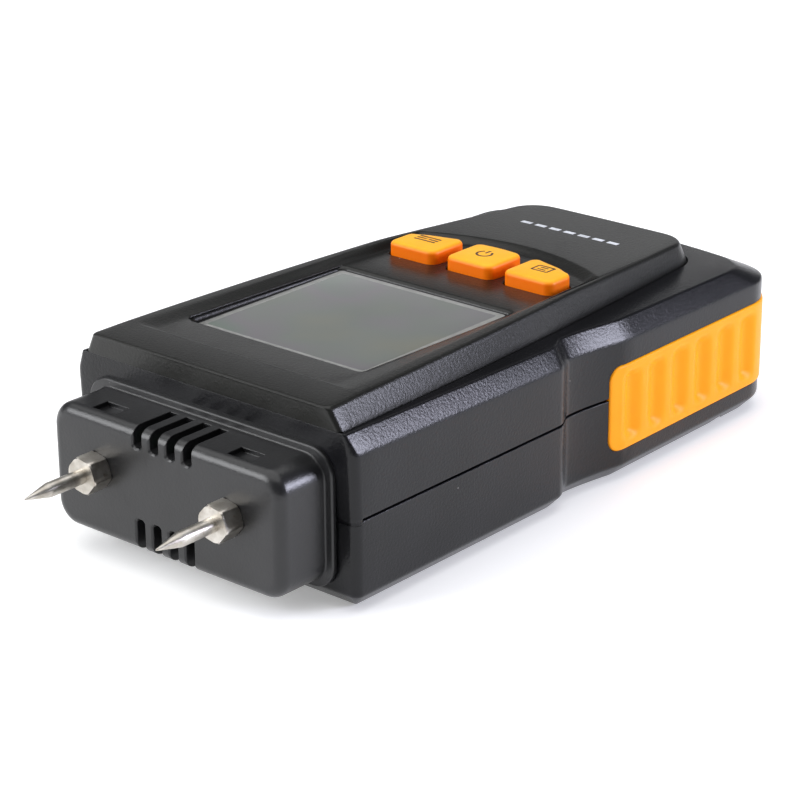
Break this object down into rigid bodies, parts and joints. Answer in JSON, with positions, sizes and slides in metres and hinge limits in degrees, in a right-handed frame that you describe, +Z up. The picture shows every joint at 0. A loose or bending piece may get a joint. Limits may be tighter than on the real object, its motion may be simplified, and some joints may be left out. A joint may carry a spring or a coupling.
{
  "type": "moisture meter",
  "caption": "Hand-held pin moisture meter: black ribbed-grip case, recessed display, orange keys, vented head with steel contact pins.",
  "frame": {"origin": "middle of the base under the whole object, pins included, on the surface it lies on", "axes": "+Y along the contact pins, +X to the side of the set key, +Z up through the display"},
  "size_m": [0.0602, 0.1442, 0.0342],
  "materials": {
    "case_plastic": "fine spark-textured black ABS",
    "panel_plastic": "satin black ABS, fine grain",
    "head_plastic": "satin black ABS, moulded",
    "grip_rubber": "soft orange rubber, satin",
    "pin_steel": "turned nickel-plated steel with fine tool marks",
    "insert_brass": "turned brass",
    "window_clear": "clear acrylic, glossy, slight grey tint",
    "lcd_grey": "grey-green liquid crystal panel, glossy",
    "frame_white": "white moulded plastic",
    "diffuser_white": "milky light guide",
    "zebra_pink": "layered silicone connector",
    "board_green": "green solder mask over glass laminate",
    "chip_black": "moulded black resin",
    "sensor_white": "white sensor cap",
    "key_rubber": "orange silicone rubber, satin, with dark printed symbols",
    "cell_jacket": "plain blue cell jacket, glossy",
    "contact_nickel": "nickel-plated spring steel",
    "wire_red": "red wire insulation",
    "screw_black": "black zinc-plated steel",
    "screw_steel": "zinc-plated steel"
  },
  "bodies": {
    "case": {"rear_housing": "case_plastic", "front_housing": "case_plastic", "face_panel": "panel_plastic", "sensor_head": "head_plastic", "left_grip": "grip_rubber", "right_grip": "grip_rubber", "pin_inserts": "insert_brass", "pin_leads": "insert_brass", "display_window": "window_clear", "lcd_panel": "lcd_grey", "display_frame": "frame_white", "backlight": "diffuser_white", "zebra_strips": "zebra_pink", "main_board": "board_green", "board_chips": "chip_black", "air_sensor": "sensor_white", "key_switches": "chip_black", "buzzer": "chip_black", "battery_cells": "cell_jacket", "battery_springs": "contact_nickel", "contact_plates": "contact_nickel", "power_leads": "wire_red", "case_screws": "screw_black", "board_screws_set": "screw_steel"},
    "cover": {"battery_cover": "case_plastic"},
    "pin_left": {"left_pin": "pin_steel"},
    "pin_right": {"right_pin": "pin_steel"},
    "key_set": {"set_key": "key_rubber"},
    "key_power": {"power_key": "key_rubber"},
    "key_menu": {"menu_key": "key_rubber"}
  },
  "joints": [
    {"name": "press_set", "type": "slide", "parent": "case", "child": "key_set", "axis": [0, 0, -1], "range_m": [0, 0.0008], "stiffness_N_per_m": 900, "springref_m": -0.0006},
    {"name": "press_power", "type": "slide", "parent": "case", "child": "key_power", "axis": [0, 0, -1], "range_m": [0, 0.0008], "stiffness_N_per_m": 900, "springref_m": -0.0006},
    {"name": "press_menu", "type": "slide", "parent": "case", "child": "key_menu", "axis": [0, 0, -1], "range_m": [0, 0.0008], "stiffness_N_per_m": 900, "springref_m": -0.0006},
    {"name": "cover_slide", "type": "slide", "parent": "case", "child": "cover", "axis": [0, -1, 0], "range_m": [0, 0.07]},
    {"name": "left_pin_out", "type": "slide", "parent": "case", "child": "pin_left", "axis": [0, 1, 0], "range_m": [0, 0.012]},
    {"name": "right_pin_out", "type": "slide", "parent": "case", "child": "pin_right", "axis": [0, 1, 0], "range_m": [0, 0.012]}
  ]
}
